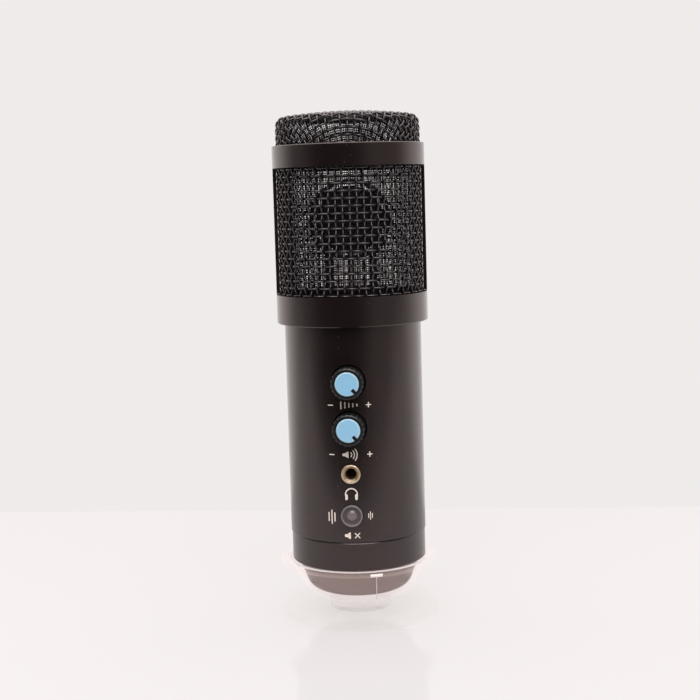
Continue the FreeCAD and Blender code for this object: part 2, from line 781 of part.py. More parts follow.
def knob_cap(height, pointer):
    low = KNOB_FACE - CAP_THICK
    high = KNOB_FACE + CAP_PROUD
    disc = turned(
        (0, low),
        (CAP_R, low),
        (CAP_R, high - CAP_BEVEL),
        (CAP_R - CAP_BEVEL, high),
        (0, high),
    )
    return on_front(disc.cut(pointer_bar(POINTER_WIDE, low - 1, high + 1)), height, pointer)


def jack_bushing():
    """Round-nosed collar in the body's hole and the long sleeve that guides the plug."""
    nose = 0.45
    bushing = turned(
        (JACK_BORE_R, JACK_BACK),
        (JACK_SLEEVE_R, JACK_BACK),
        (JACK_SLEEVE_R, JACK_SLEEVE_TIP),
        (JACK_COLLAR_R, JACK_SLEEVE_TIP),
        (JACK_COLLAR_R, JACK_FACE - nose),
        (JACK_COLLAR_R - 0.15, JACK_FACE - 0.12, JACK_COLLAR_R - nose, JACK_FACE),
        (JACK_LEAD_R, JACK_FACE),
        (JACK_BORE_R, JACK_FACE - JACK_LEAD_DEEP),
    )
    return on_front(bushing, JACK_Z)


def jack_body():
    half_x = JACK_BODY_HALF_X
    half_z = JACK_BODY_HALF_Z
    body = block(-half_x, half_x, -half_z, half_z, CONTROL_BOARD_FACE, JACK_BODY_FACE)
    return on_front(body.cut(rod(JACK_SLEEVE_R + GAP, JACK_BACK, JACK_BODY_FACE + 1)), JACK_Z)


def jack_contacts():
    """Three spring terminals along the sides of the jack body."""
    back = CONTROL_BOARD_FACE
    half_x = JACK_BODY_HALF_X
    half_z = JACK_BODY_HALF_Z
    thick = 0.4
    strips = [
        block(half_x, half_x + thick, -1.0, 1.0, back, back + 7.4),
        block(-half_x - thick, -half_x, -1.0, 1.0, back, back + 7.4),
        block(-1.0, 1.0, half_z, half_z + thick, back, back + 5.4),
    ]
    return group([on_front(strip, JACK_Z) for strip in strips])


def mute_button():
    """Round cap with a raised rim, a shallow dish, a centre dome and a retaining flange behind."""
    corner = 0.2
    dish = MUTE_FACE - MUTE_DISH
    flange_face = MUTE_BACK + MUTE_FLANGE_THICK
    cap = turned(
        (0, MUTE_BACK),
        (MUTE_R + MUTE_FLANGE, MUTE_BACK),
        (MUTE_R + MUTE_FLANGE, flange_face),
        (MUTE_R, flange_face),
        (MUTE_R, MUTE_FACE - corner),
        arc_to(MUTE_R - corner, MUTE_FACE - corner, corner, 0, 90),
        (MUTE_R - MUTE_RIM, MUTE_FACE),
        (MUTE_R - MUTE_RIM - 0.35, dish),
        (MUTE_DOME_R, dish),
        cap_arc(MUTE_DOME_R, dish, 0, MUTE_FACE),
    )
    return on_front(cap, MUTE_Z)


def mute_stem():
    return on_front(rod(STEM_PIN_R, STEM_PIN_BACK, MUTE_BACK), MUTE_Z)


def mute_switch():
    half = MUTE_SWITCH_HALF
    well_floor = CONTROL_BOARD_FACE + 0.4
    body = block(-half, half, -half, half, CONTROL_BOARD_FACE, MUTE_SWITCH_FACE)
    return on_front(body.cut(rod(STEM_PIN_R + 0.2, well_floor, MUTE_SWITCH_FACE + 1)), MUTE_Z)


def mute_lamp():
    """Small lamp on the control board above the switch."""
    half_x = 1.6
    low = MUTE_SWITCH_HALF + 0.5
    lamp = block(-half_x, half_x, low, low + 1.2, CONTROL_BOARD_FACE, CONTROL_BOARD_FACE + 0.9)
    return on_front(lamp, MUTE_Z)


# ---------------------------------------------------------------- USB socket
def upright_bar(half_x, half_y, z0, z1):
    """A bar along the body's axis."""
    return block(-half_x, half_x, -half_y, half_y, z0, z1)


def usb_shell():
    low = USB_MOUTH_Z
    high = low + USB_DEEP
    shell = upright_bar(USB_HALF_X, USB_HALF_Y, low, high)
    return shell.cut(upright_bar(USB_HALF_X - USB_WALL, USB_HALF_Y - USB_WALL, low - 1, high - USB_WALL))


def usb_insulator():
    """Plastic block with the plug's cavity, two bevelled corners and the contact tongue."""
    low = USB_MOUTH_Z + 0.2
    high = USB_MOUTH_Z + USB_DEEP - USB_WALL
    cavity_top = low + USB_CAVITY_DEEP
    body = upright_bar(USB_HALF_X - USB_WALL, USB_HALF_Y - USB_WALL, low, high)
    cavity = upright_bar(USB_CAVITY_HALF_X, USB_CAVITY_HALF_Y, low - 1, cavity_top)
    bevelled = [e for e in cavity.Edges if e.BoundBox.ZLength > 5 and e.BoundBox.YMin > 0]
    cavity = cavity.makeChamfer(1.6, bevelled)
    tongue = upright_bar(USB_TONGUE_HALF_X, USB_TONGUE_HALF_Y, low + 0.6, cavity_top + 1)
    return body.cut(cavity).fuse(tongue).removeSplitter()


def usb_contacts():
    """Four contact strips, two on each face of the tongue."""
    low = USB_MOUTH_Z + 1.5
    strips = []
    for side in (-1, 1):
        inner = side * USB_TONGUE_HALF_Y
        outer = side * (USB_TONGUE_HALF_Y + 0.25)
        for x in (-1.25, 1.25):
            strips.append(block(x - 0.5, x + 0.5, min(inner, outer), max(inner, outer), low, low + 6.0))
    return group(strips)


# ---------------------------------------------------------------- assembly
NODES = {
    "stand_base": stand_base(),
    "stand_stem": stand_stem(),
    "stand_cup": stand_cup(),
    "tail_cap": tail_cap(),
    "body_tube": body_tube(),
    "head_frame": head_frame(),
    "head_deck": head_deck(),
    "grille_outer": grille_outer(),
    "grille_inner": grille_inner(),
    "capsule_ring": capsule_ring(),
    "capsule_suspension": capsule_suspension(),
    "capsule_body": capsule_body(),
    "capsule_diaphragms": capsule_diaphragms(),
    "capsule_clamp_rings": capsule_clamp_rings(),
    "capsule_screws": capsule_screws(),
    "capsule_bracket": capsule_bracket(),
    "bracket_screws": bracket_screws(),
    "capsule_wires": capsule_wires(),
    "chassis_rail_left": chassis_rail(-1),
    "chassis_rail_right": chassis_rail(1),
    "rail_screws": rail_screws(),
    "control_board": control_board(),
    "main_board": main_board(),
    "board_screws": board_screws(),
    "board_chips": board_chips(),
    "board_capacitors": board_capacitors(),
    "board_crystal": board_crystal(),
    "board_ribbon": board_ribbon(),
    "effect_pot": pot(EFFECT_Z),
    "volume_pot": pot(VOLUME_Z),
    "effect_shaft": pot_shaft(EFFECT_Z, EFFECT_POINTER),
    "volume_shaft": pot_shaft(VOLUME_Z, VOLUME_POINTER),
    "effect_knob": knob(EFFECT_Z, EFFECT_POINTER),
    "volume_knob": knob(VOLUME_Z, VOLUME_POINTER),
    "effect_knob_cap": knob_cap(EFFECT_Z, EFFECT_POINTER),
    "volume_knob_cap": knob_cap(VOLUME_Z, VOLUME_POINTER),
    "jack_bushing": jack_bushing(),
    "jack_body": jack_body(),
    "jack_contacts": jack_contacts(),
    "mute_button": mute_button(),
    "mute_stem": mute_stem(),
    "mute_switch": mute_switch(),
    "mute_lamp": mute_lamp(),
    "usb_shell": usb_shell(),
    "usb_insulator": usb_insulator(),
    "usb_contacts": usb_contacts(),
}

for name, shape in NODES.items():
    if not shape.isValid() or shape.Volume <= 0:
        raise ValueError(name + " is not a valid solid")
    shape.exportStep(os.path.join("parts", name + ".step"))
    print(name, len(shape.Solids), "solids", round(shape.Volume, 1), "mm3")
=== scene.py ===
import json
import math

import bpy
import numpy as np
from mathutils import Matrix, Vector


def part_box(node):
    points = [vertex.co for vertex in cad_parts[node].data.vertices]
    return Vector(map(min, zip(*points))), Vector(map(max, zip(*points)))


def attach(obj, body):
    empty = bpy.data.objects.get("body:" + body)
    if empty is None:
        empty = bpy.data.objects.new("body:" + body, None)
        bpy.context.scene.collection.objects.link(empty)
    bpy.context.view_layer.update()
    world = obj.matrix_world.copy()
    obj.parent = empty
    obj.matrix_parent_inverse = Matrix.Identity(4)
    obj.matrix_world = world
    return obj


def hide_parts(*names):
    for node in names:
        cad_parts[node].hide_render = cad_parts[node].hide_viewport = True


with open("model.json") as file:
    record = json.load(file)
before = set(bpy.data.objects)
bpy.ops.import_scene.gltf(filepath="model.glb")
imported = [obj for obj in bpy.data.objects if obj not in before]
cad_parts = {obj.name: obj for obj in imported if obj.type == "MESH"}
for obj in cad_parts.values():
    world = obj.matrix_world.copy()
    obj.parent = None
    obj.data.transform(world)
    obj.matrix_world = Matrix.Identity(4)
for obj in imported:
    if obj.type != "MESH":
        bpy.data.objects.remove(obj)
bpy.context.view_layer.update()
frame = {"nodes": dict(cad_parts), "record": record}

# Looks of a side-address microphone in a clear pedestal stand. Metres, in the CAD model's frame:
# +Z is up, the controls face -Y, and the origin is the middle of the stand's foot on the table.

MM = 0.001

# ---------------------------------------------------------------- sizes
# Read from the frame
BODY_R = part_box("body_tube")[1].x
GRILLE_LOW, GRILLE_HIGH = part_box("grille_outer")
GRILLE_R = GRILLE_HIGH.x
LINER_LOW, LINER_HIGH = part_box("grille_inner")
LINER_R = LINER_HIGH.x
CUP_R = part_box("stand_cup")[1].x
CUP_RIM_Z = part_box("stand_cup")[1].z


def height_of(node):
    """The height of a control's centre."""
    low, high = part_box(node)
    return (low.z + high.z) / 2


EFFECT_Z = height_of("effect_knob")
VOLUME_Z = height_of("volume_knob")
JACK_Z = height_of("jack_bushing")
MUTE_Z = height_of("mute_button")

# Shape of the domed grille, as in the CAD model: a shallow sphere, a round corner and a leaning side
CROWN_R = 155.0 * MM
CROWN_EDGE_R = 20.45 * MM
CORNER_R = 2.8 * MM
CORNER_LEAN = math.radians(2.5)
SHOULDER_Z = 154.95 * MM
BAND_LOW_Z = 144.4 * MM

# Wire cloth. The head, and the seam and gate mark of the cup, are turned a little to the right.
HEAD_YAW = math.radians(5.3)
COARSE_PITCH = 2.3 * MM
COARSE_WIRE_R = 0.31 * MM
COARSE_COUNT = 64
COARSE_STEPS = 6
COARSE_SIDES = 8
FINE_PITCH = 0.66 * MM
FINE_WIRE_R = 0.11 * MM
FINE_STEPS = 1
FINE_SIDES = 4
CLOTH_FOOT = 0.5 * MM
AXIS_TOLERANCE = 1e-9
# the side's cloth and the dome's cloth meet behind the upper band
CLOTH_JOIN_Z = BAND_LOW_Z + 4.6 * MM

# Pale ring on the cup's rim: a painted highlight for the bright line where light comes through the rim's
# inner edge
GLINT_IN_R = 22.0 * MM
GLINT_OUT_R = 23.7 * MM
GLINT_SLOPE = 0.1 * MM
GLINT_LIFT = 0.02 * MM
GLINT_SECTIONS = 192

# Moulding seam on the cup: its distance from the middle, its size, and the (radius, height) points, in mm,
# that it follows down the cup's outside
SEAM_X = 5.1 * MM
SEAM_HALF = 0.11 * MM
SEAM_SINK = 0.05 * MM
SEAM_LIFT = 0.04 * MM
SEAM_RIM = ((25.40, 17.50), (24.8, 17.05), (23.4, 17.05))
SEAM_BOWL = ((22.2, 16.55), (21.55, 15.6), (19.4, 12.9), (18.6, 11.2), (17.4, 9.6))
SEAM_FOOT = ((15.6, 7.9), (13.4, 6.5), (11.2, 5.77))

# Gate mark at the seam's top: (from the rim's radius, from the rim's height), in mm
GATE_LONG = 3.8 * MM
GATE_STEPS = 8
GATE_SECTION = ((-0.35, -0.15), (-0.02, -0.55), (0.0, -1.0), (-0.25, -1.0))

# Printed marks
INK_LIFT = 0.03 * MM
INK_LINE = 0.34 * MM
INK_STEP = 0.3 * MM
END_ANGLES = (80, 55, 30)
SIGN_HALF = 0.70 * MM
LESS_X = -5.85 * MM
MORE_X = 6.1 * MM
EFFECT_MARK_Z = EFFECT_Z - 7.15 * MM
VOLUME_MARK_Z = VOLUME_Z - 8.3 * MM
HEADPHONES_Z = JACK_Z - 6.35 * MM
MUTE_MARK_Z = MUTE_Z - 6.35 * MM
LOUD_PLACE = (-6.45 * MM, MUTE_Z - 0.5 * MM)
SOFT_PLACE = (5.8 * MM, MUTE_Z - 0.2 * MM)

# Camera
CAMERA_AZIMUTH = math.radians(5.3)
CAMERA_PITCH = math.radians(6.62)
CAMERA_ROLL = math.radians(-1.67)
CAMERA_PLACE = (-1.15 * MM, -445.3 * MM, 137.4 * MM)
CAMERA_LENS = 71.4
CAMERA_SENSOR = 36.0
CAMERA_NEAR = 0.01

# Table top
TABLE_HALF = 0.8
TABLE_NEAR_Y = -0.19
TABLE_FAR_Y = 0.141
TABLE_CORNER_R = 0.05
TABLE_Z = -0.05 * MM
TABLE_GLOW = 0.665
TABLE_FAR_GLOW = 0.535
TABLE_FADE_Y = -0.10

# Room brightness, linear
ROOM_SEEN = (0.862, 0.832, 0.823)
ROOM_FRONT = (0.32, 0.30, 0.295)
ROOM_BACK = (1.32, 1.25, 1.23)
ROOM_OVERHEAD = (2.6, 2.5, 2.48)
ROOM_DARK = (0.028, 0.022, 0.025)

# Where the room's parts fade into each other: back over front by Y, overhead by Z, and the dark patch by
# how near a direction is to the patch's middle. Heights count twice there, so the patch is wider than high.
BACK_FADE = (-0.20, 0.55)
OVERHEAD_FADE = (0.60, 0.95)
DARK_FADE = (0.50, 0.93)
DARK_TOWARD = (-0.25, -0.97, 0.0)
DARK_STRETCH = (1.0, 1.0, 2.0)

# Soft light over the camera
LIGHT_PLACE = (0.1, -0.75, 0.95)
LIGHT_TARGET = (0.0, 0.0, 0.09)
LIGHT_SIZE = (1.0, 0.8)
LIGHT_WATTS = 8.0
LIGHT_COLOR = (1.0, 0.975, 0.97)


# ---------------------------------------------------------------- shader nodes
def add_node(tree, kind, inputs=(), **settings):
    """A new node. Each input is linked if it is a socket, and set if it is a value."""
    made = tree.nodes.new(kind)
    for key, value in settings.items():
        setattr(made, key, value)
    for key, value in dict(inputs).items():
        if isinstance(value, bpy.types.NodeSocket):
            tree.links.new(value, made.inputs[key])
        else:
            made.inputs[key].default_value = value
    return made


def color_sockets(sockets):
    """A node's colour sockets: a Mix node also has sockets for its other data types."""
    return [socket for socket in sockets if socket.type == "RGBA"]


def mixed(tree, factor, first, second):
    """Colour that goes from first to second with factor. Each of the two is a colour or a socket."""
    made = add_node(tree, "ShaderNodeMix", {"Factor": factor}, data_type="RGBA")
    for socket, value in zip(color_sockets(made.inputs), (first, second)):
        if isinstance(value, bpy.types.NodeSocket):
            tree.links.new(value, socket)
        else:
            socket.default_value = (*value, 1.0)
    return color_sockets(made.outputs)[0]


# ---------------------------------------------------------------- materials
class Surface:
    """A principled material, with short calls for the node patterns that this object uses."""

    def __init__(self, name, color, roughness, **values):
        self.material = bpy.data.materials.new(name)
        self.material.use_nodes = True
        self.tree = self.material.node_tree
        self.shader = self.tree.nodes["Principled BSDF"]
        self.color = color
        self.roughness = roughness
        self.shader.inputs["Base Color"].default_value = (*color, 1.0)
        self.shader.inputs["Roughness"].default_value = roughness
        for key, value in values.items():
            self.shader.inputs[key.replace("_", " ")].default_value = value
        self.coordinates = self.tree.nodes.new("ShaderNodeTexCoord").outputs["Object"]

    def node(self, kind, inputs=(), **settings):
        return add_node(self.tree, kind, inputs, **settings)

    def link(self, source, name):
        """Links a socket to the shader's input of that name."""
        self.tree.links.new(source, self.shader.inputs[name])

    def math_node(self, operation, first, second=0.0):
        """The result of a sum or function of one or two values or sockets."""
        return self.node("ShaderNodeMath", {0: first, 1: second}, operation=operation).outputs["Value"]

    def stretched(self, scale):
        """The object's coordinates, scaled along each axis."""
        found = self.node("ShaderNodeMapping", {"Vector": self.coordinates, "Scale": scale})
        return found.outputs["Vector"]

    def noise(self, scale, detail=3.0, along=None):
        """Noise with so many grains a metre. along scales its axes, to draw the grains out."""
        vector = self.coordinates if along is None else self.stretched(along)
        found = self.node("ShaderNodeTexNoise", {"Vector": vector, "Scale": scale, "Detail": detail})
        return found.outputs["Fac"]

    def ramp(self, source, low, high, from_value, to_value):
        """source from low to high, mapped to a new span and held at its ends."""
        inputs = {"Value": source, "From Min": low, "From Max": high}
        inputs.update({"To Min": from_value, "To Max": to_value})
        return self.node("ShaderNodeMapRange", inputs).outputs["Result"]

    def tint(self, source, other, low=0.3, high=0.7):
        """Base colour drifts to another colour where source is high."""
        target = self.shader.inputs["Base Color"]
        before = target.links[0].from_socket if target.is_linked else self.color
        self.link(mixed(self.tree, self.ramp(source, low, high, 0.0, 1.0), before, other), "Base Color")

    def gloss(self, source, spread, low=0.3, high=0.7):
        """Roughness varies either side of its own value with source."""
        smooth, rough = self.roughness - spread, self.roughness + spread
        self.link(self.ramp(source, low, high, smooth, rough), "Roughness")

    def bump(self, source, depth):
        """Relief of a given depth in metres."""
        made = self.node("ShaderNodeBump", {"Height": source, "Distance": depth, "Strength": 1.0})
        self.link(made.outputs["Normal"], "Normal")

    def radius(self, height):
        """Distance from a line along Y at a height."""
        centre = (0.0, 0.0, height)
        shifted = self.node("ShaderNodeVectorMath", {0: self.coordinates, 1: centre}, operation="SUBTRACT")
        upright = (1.0, 0.0, 1.0)
        flat = self.node(
            "ShaderNodeVectorMath", {0: shifted.outputs["Vector"], 1: upright}, operation="MULTIPLY"
        )
        found = self.node("ShaderNodeVectorMath", {0: flat.outputs["Vector"]}, operation="LENGTH")
        return found.outputs["Value"]

    def rings(self, height, spacing):
        """Turning marks: rings about a line along Y at a height."""
        return self.math_node("SINE", self.math_node("MULTIPLY", self.radius(height), math.tau / spacing))

    def specks(self, per_metre, size):
        """Sparse small dots, 1 on a dot and 0 elsewhere."""
        cells = self.node("ShaderNodeTexVoronoi", {"Vector": self.coordinates, "Scale": per_metre})
        return self.ramp(cells.outputs["Distance"], size, size * 0.6, 0.0, 1.0)


def shaded(color, part):
    """The same colour, darker."""
    return tuple(part * c for c in color)


def black_coating():
    """Satin lacquer: a slow drift of tone, a little dust and a very fine skin."""
    s = Surface("black_coating", (0.0070, 0.0042, 0.0046), 0.23, Specular_IOR_Level=0.8)
    s.shader.inputs["Specular Tint"].default_value = (1.0, 0.86, 0.85, 1.0)
    s.tint(s.noise(60.0, 2.0), (0.0120, 0.0070, 0.0062))
    s.tint(s.specks(420.0, 0.06), (0.10, 0.085, 0.085), 0.0, 1.0)
    s.gloss(s.noise(900.0, 4.0), 0.02)
    s.bump(s.noise(5200.0, 2.0), 0.000003)
    return s.material


def grille_wire():
    """Gloss lacquer on round wire, a little uneven."""
    s = Surface("grille_wire", (0.0060, 0.0042, 0.0055), 0.13, Specular_IOR_Level=0.95)
    s.shader.inputs["Specular Tint"].default_value = (1.0, 0.90, 0.92, 1.0)
    s.tint(s.noise(900.0, 3.0), (0.014, 0.010, 0.012))
    s.gloss(s.noise(2600.0, 3.0), 0.05)
    s.bump(s.noise(9000.0, 2.0), 0.000008)
    return s.material


def liner_wire():
    """Dull black wire."""
    s = Surface("liner_wire", (0.0055, 0.0038, 0.0046), 0.50, Specular_IOR_Level=0.35)
    s.tint(s.noise(1500.0, 2.0), (0.010, 0.007, 0.008))
    s.gloss(s.noise(4000.0, 2.0), 0.08)
    return s.material


def moulded_black(name, roughness):
    """Black plastic with the fine texture of its mould."""
    s = Surface(name, (0.0095, 0.0095, 0.0115), roughness, Specular_IOR_Level=0.45)
    s.tint(s.noise(400.0, 3.0), (0.016, 0.0155, 0.018))
    s.gloss(s.noise(1800.0, 3.0), 0.06)
    s.bump(s.noise(6500.0, 3.0), 0.000010)
    return s.material


def cap_plastic(height):
    """Pale blue, with a painted highlight that makes it paler along its edge. Each cap has its own centre.
    """
    s = Surface("cap_plastic", (0.31, 0.61, 0.855), 0.42, Subsurface_Weight=0.08, Subsurface_Scale=0.0004)
    s.tint(s.noise(700.0, 3.0), (0.335, 0.635, 0.875))
    s.tint(s.noise(2600.0, 2.0, (1.0, 1.0, 8.0)), (0.28, 0.575, 0.83), 0.55, 0.8)
    # painted highlight: paler near the cap's edge, where its rim catches the light
    s.tint(s.radius(height), (0.55, 0.79, 0.91), 0.0032, 0.0036)
    s.gloss(s.noise(2500.0, 3.0), 0.06)
    s.bump(s.noise(5000.0, 3.0), 0.000006)
    return s.material


def brass():
    """Pale turned brass, with the tool's rings."""
    s = Surface("brass", (0.82, 0.67, 0.48), 0.42, Metallic=1.0)
    s.tint(s.noise(800.0, 3.0), (0.68, 0.54, 0.37))
    s.gloss(s.noise(3000.0, 2.0), 0.06)
    s.bump(s.rings(JACK_Z, 0.00012), 0.000004)
    return s.material


def button_plastic():
    """Smoky plastic with painted light: a painted highlight on the rim, painted shade in the dish, and a
    paler dome in the middle.
    """
    s = Surface("button_plastic", (0.17, 0.132, 0.138), 0.30, Coat_Weight=0.5, Coat_Roughness=0.12)
    s.tint(s.noise(500.0, 2.0), (0.20, 0.155, 0.160))
    middle = s.radius(MUTE_Z)
    # painted shade in the dish round the dome
    s.tint(middle, (0.070, 0.052, 0.056), 0.0013, 0.0018)
    # painted highlight on the rim
    s.tint(middle, (0.19, 0.16, 0.165), 0.0026, 0.0029)
    s.gloss(s.noise(2200.0, 3.0), 0.05)
    s.bump(s.noise(5000.0, 2.0), 0.000003)
    return s.material


def clear_acrylic(color, painted_glow, haze, edge_haze):
    """Clear with a faint pale haze where a wall is seen face on, and a grey line of painted shade where it
    turns edge on. Its glow is painted light.
    """
    thin_haze = 0.04
    # the acrylic glows: painted light standing in for light that it carries from elsewhere
    s = Surface("clear_acrylic", color, 0.12, IOR=1.49, Specular_IOR_Level=0.8, Emission_Strength=painted_glow)
    s.shader.inputs["Emission Color"].default_value = (1.0, 0.72, 0.66, 1.0)
    s.tint(s.noise(240.0, 3.0), shaded(color, 0.96))
    s.gloss(s.noise(700.0, 3.0), 0.04)
    s.bump(s.noise(500.0, 2.0), 0.000002)
    # 0 where the surface faces the eye, 1 where it is edge on
    edge_on = s.node("ShaderNodeLayerWeight", {"Blend": 0.5}).outputs["Facing"]
    # painted shade: a grey line where the wall turns edge on, standing in for the dark edges that
    # refraction gives
    s.tint(edge_on, (0.22, 0.20, 0.195), 0.75, 0.92)
    face = s.ramp(edge_on, 0.50, 0.70, haze, thin_haze)
    rim = s.ramp(edge_on, 0.78, 0.95, 0.0, edge_haze)
    s.link(s.math_node("MAXIMUM", face, rim), "Alpha")
    return s.material


def frosted_acrylic(color, alpha):
    """Pale, matt acrylic: a painted highlight on the cup's rim, and mould marks that were torn from the
    mould, so that they scatter light.
    """
    s = Surface("frosted_acrylic", color, 0.35, Alpha=alpha)
    s.tint(s.noise(1500.0, 3.0), shaded(color, 0.92))
    s.bump(s.noise(6000.0, 3.0), 0.000010)
    return s.material


def mark_ink():
    """Warm white ink, slightly uneven."""
    s = Surface("mark_ink", (0.97, 0.85, 0.77), 0.55)
    s.tint(s.noise(2600.0, 3.0), (0.85, 0.74, 0.66))
    s.bump(s.noise(8000.0, 2.0), 0.000006)
    return s.material


def metal(name, color, roughness, grain):
    """Plated or turned metal, with a grain drawn out along Z."""
    along_z = (1.0, 1.0, 0.08)
    s = Surface(name, color, roughness, Metallic=1.0)
    s.tint(s.noise(500.0, 3.0), shaded(color, 0.82))
    s.gloss(s.noise(grain, 3.0, along_z), 0.08)
    s.bump(s.noise(grain, 2.0, along_z), 0.000006)
    return s.material


def plastic(name, color, roughness):
    """Plain moulded plastic or rubber, with a fine texture and slow colour drift."""
    s = Surface(name, color, roughness)
    s.tint(s.noise(350.0, 3.0), shaded(color, 0.8))
    s.gloss(s.noise(1500.0, 3.0), 0.07)
    s.bump(s.noise(5000.0, 3.0), 0.000012)
    return s.material


def circuit_board():
    """Green solder mask over a net of slightly raised copper tracks."""
    s = Surface("circuit_board", (0.012, 0.105, 0.040), 0.32, Specular_IOR_Level=0.55)
    tracks = s.node("ShaderNodeTexBrick", {"Vector": s.coordinates, "Scale": 420.0, "Mortar Size": 0.06})
    lines = tracks.outputs["Fac"]
    s.tint(lines, (0.030, 0.190, 0.075), 0.2, 0.8)
    s.gloss(s.noise(900.0, 2.0), 0.05)
    s.bump(lines, 0.00003)
    return s.material


MATERIALS = {
    "clear_acrylic": clear_acrylic((0.55, 0.46, 0.445), 0.28, 0.06, 0.55),
    "black_coating": black_coating(),
    "cast_metal": metal("cast_metal", (0.40, 0.40, 0.41), 0.55, 1800.0),
    "grille_wire": grille_wire(),
    "liner_wire": liner_wire(),
    "holder_plastic": moulded_black("holder_plastic", 0.5),
    "lug_rubber": plastic("lug_rubber", (0.018, 0.017, 0.018), 0.75),
    "capsule_metal": metal("capsule_metal", (0.05, 0.042, 0.045), 0.42, 2600.0),
    "dark_film": moulded_black("dark_film", 0.25),
    "brass": brass(),
    "steel_screws": metal("steel_screws", (0.60, 0.60, 0.61), 0.32, 3000.0),
    "wire_jacket": plastic("wire_jacket", (0.22, 0.022, 0.018), 0.45),
    "plated_steel": metal("plated_steel", (0.56, 0.56, 0.55), 0.30, 2200.0),
    "circuit_board": circuit_board(),
    "chip_plastic": plastic("chip_plastic", (0.016, 0.016, 0.017), 0.55),
    "capacitor_sleeve": plastic("capacitor_sleeve", (0.02, 0.02, 0.07), 0.30),
    "pot_housing": plastic("pot_housing", (0.03, 0.05, 0.10), 0.50),
    "knob_plastic": moulded_black("knob_plastic", 0.30),
    "gold_contacts": metal("gold_contacts", (0.78, 0.57, 0.22), 0.28, 3000.0),
    "button_plastic": button_plastic(),
    "lamp_lens": plastic("lamp_lens", (0.75, 0.74, 0.68), 0.20),
    "socket_plastic": plastic("socket_plastic", (0.68, 0.68, 0.66), 0.45),
}
INK = mark_ink()
# painted highlight: the pale ring on the cup's rim
PAINTED_RIM_GLINT = frosted_acrylic((0.85, 0.80, 0.79), 0.80)
MOULD_MARK = frosted_acrylic((0.97, 0.94, 0.93), 0.85)

# Nodes with a look of their own
OWN_LOOKS = {
    # the cup glows more than the rest of the stand: painted light
    "stand_cup": clear_acrylic((0.45, 0.36, 0.35), 0.57, 0.13, 0.25),
    "effect_knob_cap": cap_plastic(EFFECT_Z),
    "volume_knob_cap": cap_plastic(VOLUME_Z),
}


def dress(piece, material):
    """Gives a piece its one material."""
    piece.data.materials.clear()
    piece.data.materials.append(material)
    return piece


def dress_nodes():
    """Every CAD node gets its own look, or else the material of its slot in the record."""
    for part in frame["record"]["subparts"]:
        node = part["node"]
        material = OWN_LOOKS[node] if node in OWN_LOOKS else MATERIALS[part["material_slot"]]
        dress(frame["nodes"][node], material)


# ---------------------------------------------------------------- meshes
def new_piece(name, vertices, faces, material):
    """A mesh of one material, in the scene."""
    mesh = bpy.data.meshes.new(name)
    mesh.from_pydata(vertices, [], faces)
    piece = bpy.data.objects.new(name, mesh)
    bpy.context.scene.collection.objects.link(piece)
    return dress(piece, material)


def tube_faces(rings, sides, closed, first):
    """Quads between a tube's rings of points, which start at vertex first, and end faces if it is open."""
    spans = rings if closed else rings - 1
    ring = np.arange(spans)[:, None] * sides
    next_ring = ((np.arange(spans) + 1) % rings)[:, None] * sides
    side = np.arange(sides)[None, :]
    next_side = (side + 1) % sides
    quads = np.stack([ring + side, ring + next_side, next_ring + next_side, next_ring + side], axis=-1)
    faces = (quads.reshape(-1, 4) + first).tolist()
    if not closed:
        last = first + (rings - 1) * sides
        faces.append(list(range(first + sides - 1, first - 1, -1)))
        faces.append(list(range(last, last + sides)))
    return faces


# ---------------------------------------------------------------- wire cloth
def wire_rings(points, normals, closed, radius, angles):
    """Rings of points round a wire."""
    if closed:
        along = np.roll(points, -1, axis=0) - np.roll(points, 1, axis=0)
    else:
        along = np.gradient(points, axis=0)
    along /= np.linalg.norm(along, axis=1, keepdims=True)
    across = np.cross(along, normals)
    across /= np.linalg.norm(across, axis=1, keepdims=True)
    up = np.cross(across, along)
    upward = np.cos(angles)[None, :, None] * up[:, None, :]
    sideways = np.sin(angles)[None, :, None] * across[:, None, :]
    return (points[:, None, :] + radius * (upward + sideways)).reshape(-1, 3)


def cloth(name, lines, radius, sides, node, slot):
    """One mesh of round wires that stands for a plain CAD shell. A line is (points, normals, closed)."""
    angles = np.arange(sides) * (math.tau / sides)
    vertices = []
    faces = []
    first = 0
    for points, normals, closed in lines:
        vertices.append(wire_rings(points, normals, closed, radius, angles))
        faces.extend(tube_faces(len(points), sides, closed, first))
        first += len(points) * sides
    piece = new_piece(name, np.concatenate(vertices).tolist(), faces, MATERIALS[slot])
    piece.data.polygons.foreach_set("use_smooth", [True] * len(piece.data.polygons))
    piece.rotation_euler.z = HEAD_YAW
    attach(piece, "microphone")
    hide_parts(node)


def cylinder_point(radius, angle, z):
    """Points on a cylinder. One of angle and z, or both, is an array."""
    return np.stack([radius * np.cos(angle), radius * np.sin(angle), z + 0 * angle], axis=-1)


def cylinder_normal(angle):
    return np.stack([np.cos(angle), np.sin(angle), 0 * angle], axis=-1)


def side_cloth(radius, low_z, count, pitch, amplitude, steps):
    """Wires of a woven cylinder: uprights and hoops that pass over and under each other."""
    lines = []
    rows = int((CLOTH_JOIN_Z - low_z) / pitch)
    z = np.linspace(low_z, low_z + rows * pitch, rows * steps + 1)
    for i in range(count):
        angle = math.tau * i / count + 0 * z
        over = amplitude * np.cos(math.pi * ((z - low_z) / pitch + i - 0.5))
        lines.append((cylinder_point(radius + over, angle, z), cylinder_normal(angle), False))
    turn = np.arange(count * steps) * (math.tau / (count * steps))
    for j in range(rows):
        over = -amplitude * np.cos(math.pi * (turn * count / math.tau + j))
        height = low_z + (j + 0.5) * pitch
        lines.append((cylinder_point(radius + over, turn, height), cylinder_normal(turn), True))
    return lines


